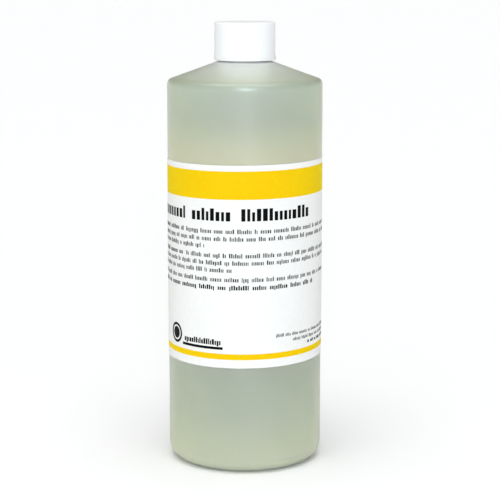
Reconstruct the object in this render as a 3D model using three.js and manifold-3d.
// A one-quart plastic bottle of photographic fixer: a blow-moulded cylinder bottle with a conical
// shoulder and a threaded neck, a ribbed screw cap with a sealing disc inside it, a wrap label and
// the liquid. Millimetres, +Z up, standing on z = 0 with the bottle's axis on the Z axis. The front
// of the label faces -Y.
import * as THREE from "three";
import { mergeVertices } from "three/addons/utils/BufferGeometryUtils.js";
import Module from "manifold-3d";

const wasm = await Module();
wasm.setup();

// ---- Driving dimensions -------------------------------------------------------------------------

// Bottle
const BODY_RADIUS = 41;
const WALL = 1;
const HEEL_RADIUS = 8;
const PUSH_UP = 5; // height of the dome pressed up into the base
const FOOT_WIDTH = 4; // flat ring that the bottle stands on
const SHOULDER_Z = 203.8; // height at which the cone would meet the body in a sharp corner
const SHOULDER_ANGLE = THREE.MathUtils.degToRad(20); // slope of the cone above horizontal
const SHOULDER_CORNER_RADIUS = 2.5; // rounding of that corner where it leaves the cone
const SHOULDER_EASE_RADIUS = 9; // slower rounding where it meets the body
const SHOULDER_EASE_ANGLE = THREE.MathUtils.degToRad(16); // turn that the slower rounding takes
const NECK_RADIUS = 12.5; // root of the neck thread
const BORE_RADIUS = 10.7;
const NECK_FILLET = 1;
const LIP_Z = 231;
const LIP_ROUND = 0.6;

// Cap and liner
const CAP_TOP_Z = 234;
const CAP_BOTTOM_Z = 214.2;
const CAP_RADIUS = 16; // over the ribs
const CAP_BORE_RADIUS = 14;
const CAP_CEILING_Z = 232.5;
const CAP_EDGE_ROUND = 0.9;
const RIBS = 72;
const RIB_DEPTH = 0.4;
const RIB_TOP_Z = 231.9;
const RIB_BOTTOM_Z = 217.2;
const RIB_FADE = 0.6; // height over which a groove runs out at each end
const SKIRT_BAND = 0.2; // how far the plain band at the foot of the skirt stands proud of the ribs
const LINER_RADIUS = 13.7;
const LINER_BOTTOM_Z = 231.1;
const LINER_THICKNESS = 1.3;

// Screw thread, single start and right handed, 6 turns to the inch
const THREAD_PITCH = 25.4 / 6;
const THREAD_TURNS = 1.5;
const THREAD_ROOT_WIDTH = 2.4;
const THREAD_CREST_WIDTH = 1;
const THREAD_HEIGHT = 1.15; // neck thread
const CAP_THREAD_HEIGHT = 1.05;
const THREAD_START_Z = 222; // middle of the neck thread where it starts
const CAP_THREAD_DROP = 1.7; // the cap thread runs this far under the neck thread
const CAP_THREAD_LEAD = 0.5; // turns by which the cap thread starts before the neck thread
const THREAD_RUN_OUT = 0.08; // turns over which a thread fades at each end
const THREAD_BURIED = 0.4; // depth of the thread's foot inside the wall it grows from

// Label
const LABEL_GAP = 0.08; // adhesive
const LABEL_THICKNESS = 0.15;
const LABEL_TOP_Z = 163.3; // at the middle of the front
const LABEL_BOTTOM_Z = 57.6;
const LABEL_LENGTH = 251; // along the curve, so its two ends nearly meet at the back
const LABEL_RISE = 0.4; // rise in millimetres for each radian, because it is stuck on slightly askew

// Liquid
const LIQUID_GAP = 0.12;
const LIQUID_TOP_Z = 198.2; // about 0.97 litre

const BODY_SEGMENTS = 48;
const NECK_STEPS = 24; // steps in one turn of a thread

const MATERIALS = {
  bottle: new THREE.MeshStandardMaterial({ color: 0xd2d8c6, roughness: 0.4, metalness: 0 }),
  cap: new THREE.MeshStandardMaterial({ color: 0xf7f8f8, roughness: 0.45, metalness: 0 }),
  liner: new THREE.MeshStandardMaterial({ color: 0xf2f1ea, roughness: 0.8, metalness: 0 }),
  label: new THREE.MeshStandardMaterial({ color: 0xf6f5ee, roughness: 0.5, metalness: 0 }),
  liquid: new THREE.MeshStandardMaterial({ color: 0xd6d9a8, roughness: 0.1, metalness: 0 }),
};

// ---- Geometry helpers ---------------------------------------------------------------------------

// Points of an arc in the (radius, height) plane, angles in radians from the outward direction.
function arc(centreR, centreZ, radius, from, to, steps) {
  const points = [];
  for (let i = 0; i <= steps; i++) {
    const angle = THREE.MathUtils.lerp(from, to, i / steps);
    points.push(
      new THREE.Vector2(centreR + radius * Math.cos(angle), centreZ + radius * Math.sin(angle)),
    );
  }
  return points;
}

function point(radius, height) {
  return new THREE.Vector2(radius, height);
}

// A solid of revolution round Z. The profile runs anticlockwise, seen with Z up and radius to the
// right. The first facet corner is at the front, -Y.
function revolve(profile, segments = BODY_SEGMENTS) {
  const geometry = new THREE.LatheGeometry(profile, segments);
  geometry.rotateX(Math.PI / 2);
  return geometry;
}

function toManifold(geometry) {
  const bare = geometry.clone();
  bare.deleteAttribute("normal");
  bare.deleteAttribute("uv");
  const merged = mergeVertices(bare);
  return new wasm.Manifold(
    new wasm.Mesh({
      numProp: 3,
      vertProperties: new Float32Array(merged.getAttribute("position").array),
      triVerts: new Uint32Array(merged.index.array),
    }),
  );
}

function fromManifold(solid) {
  const mesh = solid.getMesh();
  const geometry = new THREE.BufferGeometry();
  geometry.setAttribute("position", new THREE.BufferAttribute(mesh.vertProperties, 3));
  geometry.setIndex(new THREE.BufferAttribute(mesh.triVerts, 1));
  return geometry;
}

// Height of the cone's outer surface at a radius.
function coneZ(radius) {
  return SHOULDER_Z + (BODY_RADIUS - radius) * Math.tan(SHOULDER_ANGLE);
}

// A thread: a straight extruded ridge wound into a helix on a cylinder. side is 1 where the ridge
// grows outwards from the cylinder and -1 where it grows inwards.
function threadRidge(side, rootRadius, height, startAngle, startZ) {
  const root = THREAD_ROOT_WIDTH / 2;
  const crest = THREAD_CREST_WIDTH / 2;
  const section = new THREE.Shape([
    point(-THREAD_BURIED, -root),
    point(height, -crest),
    point(height, crest),
    point(-THREAD_BURIED, root),
  ]);
  const ridge = new THREE.ExtrudeGeometry(section, {
    depth: THREAD_TURNS,
    steps: THREAD_TURNS * NECK_STEPS,
    bevelEnabled: false,
  });
  const position = ridge.getAttribute("position");
  for (let i = 0; i < position.count; i++) {
    const turn = position.getZ(i);
    const nearestEnd = Math.min(turn, THREAD_TURNS - turn);
    const fade = Math.min(1, 0.15 + (0.85 * nearestEnd) / THREAD_RUN_OUT);
    const proud = (position.getX(i) + THREAD_BURIED) * fade - THREAD_BURIED;
    const radius = rootRadius + side * proud;
    const angle = startAngle + turn * 2 * Math.PI;
    const z = startZ + turn * THREAD_PITCH - side * position.getY(i);
    position.setXYZ(i, radius * Math.sin(angle), -radius * Math.cos(angle), z);
  }
  return toManifold(ridge);
}

// ---- Bottle -------------------------------------------------------------------------------------

// The dome, standing ring, heel and body, offset inwards by inset, up to the shoulder's rounding.
function lowerProfile(inset) {
  const heelCentre = BODY_RADIUS - HEEL_RADIUS;
  const footInside = heelCentre - FOOT_WIDTH;
  const dome = [point(0, PUSH_UP), point(footInside * 0.55, PUSH_UP * 0.8)];
  const ring = [point(footInside, 0)];
  const lifted = [...dome, ...ring].map((p) => point(p.x, p.y + inset));
  return [...lifted, ...arc(heelCentre, HEEL_RADIUS, HEEL_RADIUS - inset, -Math.PI / 2, 0, 5)];
}

// The rounding between body and cone, offset inwards by inset: a slow arc up from the body, then a
// tighter one over the corner.
function shoulderProfile(inset) {
  const turn = Math.PI / 2 - SHOULDER_ANGLE;
  const easeCentreR = BODY_RADIUS - SHOULDER_EASE_RADIUS;
  const radiusChange = SHOULDER_EASE_RADIUS - SHOULDER_CORNER_RADIUS;
  const cornerCentreR = easeCentreR + radiusChange * Math.cos(SHOULDER_EASE_ANGLE);
  const centreRise = radiusChange * Math.sin(SHOULDER_EASE_ANGLE);
  const coneStartR = cornerCentreR + SHOULDER_CORNER_RADIUS * Math.cos(turn);
  const cornerCentreZ = coneZ(coneStartR) - SHOULDER_CORNER_RADIUS * Math.sin(turn);
  const easeCentreZ = cornerCentreZ - centreRise;
  const ease = arc(easeCentreR, easeCentreZ, SHOULDER_EASE_RADIUS - inset, 0, SHOULDER_EASE_ANGLE, 2);
  const corner = arc(
    cornerCentreR,
    cornerCentreZ,
    SHOULDER_CORNER_RADIUS - inset,
    SHOULDER_EASE_ANGLE,
    turn,
    3,
  );
  return [...ease, ...corner.slice(1)];
}

function bottle() {
  const turn = Math.PI / 2 - SHOULDER_ANGLE;
  const filletZ = coneZ(NECK_RADIUS) + NECK_FILLET * Math.tan(turn / 2);
  const fillet = arc(
    NECK_RADIUS + NECK_FILLET,
    filletZ,
    NECK_FILLET,
    Math.PI + turn,
    Math.PI,
    2,
  );
  const lip = [
    point(NECK_RADIUS, LIP_Z - LIP_ROUND),
    point(NECK_RADIUS - LIP_ROUND, LIP_Z),
    point(BORE_RADIUS, LIP_Z),
  ];
  const boreFootZ = coneZ(BORE_RADIUS) - WALL / Math.cos(SHOULDER_ANGLE);
  const outside = [...lowerProfile(0), ...shoulderProfile(0), ...fillet, ...lip];
  const inside = [...lowerProfile(WALL), ...shoulderProfile(WALL), point(BORE_RADIUS, boreFootZ)];
  const shell = toManifold(revolve([...outside, ...inside.reverse()]));
  const thread = threadRidge(1, NECK_RADIUS, THREAD_HEIGHT, 0, THREAD_START_Z);
  return fromManifold(shell.add(thread));
}

// ---- Cap and liner ------------------------------------------------------------------------------

// The cap's outside as a plug: every second facet corner is pressed in between the ends of the ribs.
function cap() {
  const band = [
    point(0, CAP_BOTTOM_Z),
    point(CAP_RADIUS, CAP_BOTTOM_Z),
    point(CAP_RADIUS + SKIRT_BAND, CAP_BOTTOM_Z + SKIRT_BAND),
    point(CAP_RADIUS + SKIRT_BAND, RIB_BOTTOM_Z - RIB_FADE),
  ];
  const ribbed = [point(CAP_RADIUS, RIB_BOTTOM_Z), point(CAP_RADIUS, RIB_TOP_Z)];
  const top = [
    point(CAP_RADIUS, RIB_TOP_Z + RIB_FADE),
    point(CAP_RADIUS - CAP_EDGE_ROUND * 0.3, CAP_TOP_Z - CAP_EDGE_ROUND * 0.3),
    point(CAP_RADIUS - CAP_EDGE_ROUND, CAP_TOP_Z),
    point(0, CAP_TOP_Z),
  ];
  const outline = [...band, ...ribbed, ...top];
  const plug = revolve(outline, 2 * RIBS);
  const position = plug.getAttribute("position");
  const shrink = 1 - RIB_DEPTH / CAP_RADIUS;
  for (let i = 0; i < position.count; i++) {
    const isGroove = Math.floor(i / outline.length) % 2 === 1;
    const isRibbed = ribbed.includes(outline[i % outline.length]);
    if (isGroove && isRibbed) {
      position.setX(i, position.getX(i) * shrink);
      position.setY(i, position.getY(i) * shrink);
    }
  }
  const bore = revolve([
    point(0, CAP_BOTTOM_Z - 1),
    point(CAP_BORE_RADIUS, CAP_BOTTOM_Z - 1),
    point(CAP_BORE_RADIUS, CAP_CEILING_Z),
    point(0, CAP_CEILING_Z),
  ]);
  const leadAngle = -CAP_THREAD_LEAD * 2 * Math.PI;
  const startZ = THREAD_START_Z - CAP_THREAD_DROP - CAP_THREAD_LEAD * THREAD_PITCH;
  const thread = threadRidge(-1, CAP_BORE_RADIUS, CAP_THREAD_HEIGHT, leadAngle, startZ);
  return fromManifold(toManifold(plug).subtract(toManifold(bore)).add(thread));
}

function liner() {
  const top = LINER_BOTTOM_Z + LINER_THICKNESS;
  return revolve([
    point(0, LINER_BOTTOM_Z),
    point(LINER_RADIUS, LINER_BOTTOM_Z),
    point(LINER_RADIUS, top),
    point(0, top),
  ]);
}

// ---- Label and liquid ---------------------------------------------------------------------------

// A flat strip wound round the body. Its steps match the bottle's facets, so the gap is even.
function label() {
  const inner = BODY_RADIUS + LABEL_GAP;
  const height = LABEL_TOP_Z - LABEL_BOTTOM_Z;
  const facet = (2 * Math.PI) / BODY_SEGMENTS;
  const halfAngle = LABEL_LENGTH / 2 / inner;
  const wholeFacets = Math.floor(halfAngle / facet);
  const stops = [-halfAngle];
  for (let i = -wholeFacets; i <= wholeFacets; i++) stops.push(i * facet);
  stops.push(halfAngle);
  const strip = new THREE.BoxGeometry(1, LABEL_THICKNESS, height, stops.length - 1, 1, 1);
  const position = strip.getAttribute("position");
  for (let i = 0; i < position.count; i++) {
    const angle = stops[Math.round((position.getX(i) + 0.5) * (stops.length - 1))];
    const depth = position.getY(i) < 0 ? LABEL_THICKNESS : 0;
    const facetMiddle = (Math.floor(angle / facet + 1e-6) + 0.5) * facet;
    const isCut = Math.abs(angle) > wholeFacets * facet + 1e-6;
    const chord = isCut ? Math.cos(facet / 2) / Math.cos(angle - facetMiddle) : 1;
    const radius = (inner + depth) * chord;
    const z = LABEL_BOTTOM_Z + height / 2 + position.getZ(i) + LABEL_RISE * angle;
    position.setXYZ(i, radius * Math.sin(angle), -radius * Math.cos(angle), z);
  }
  return strip;
}

function liquid() {
  const inset = WALL + LIQUID_GAP;
  const top = [point(BODY_RADIUS - inset, LIQUID_TOP_Z), point(0, LIQUID_TOP_Z)];
  return revolve([...lowerProfile(inset), ...top]);
}

// ---- Assembly -----------------------------------------------------------------------------------

function named(name, geometry, material) {
  const mesh = new THREE.Mesh(geometry, material);
  mesh.name = name;
  return mesh;
}

const fixerBottle = new THREE.Group();
fixerBottle.add(named("bottle", bottle(), MATERIALS.bottle));
fixerBottle.add(named("label", label(), MATERIALS.label));
fixerBottle.add(named("fixer_liquid", liquid(), MATERIALS.liquid));

const closure = new THREE.Group();
closure.add(named("cap", cap(), MATERIALS.cap));
closure.add(named("cap_liner", liner(), MATERIALS.liner));
fixerBottle.add(closure);

export default fixerBottle;
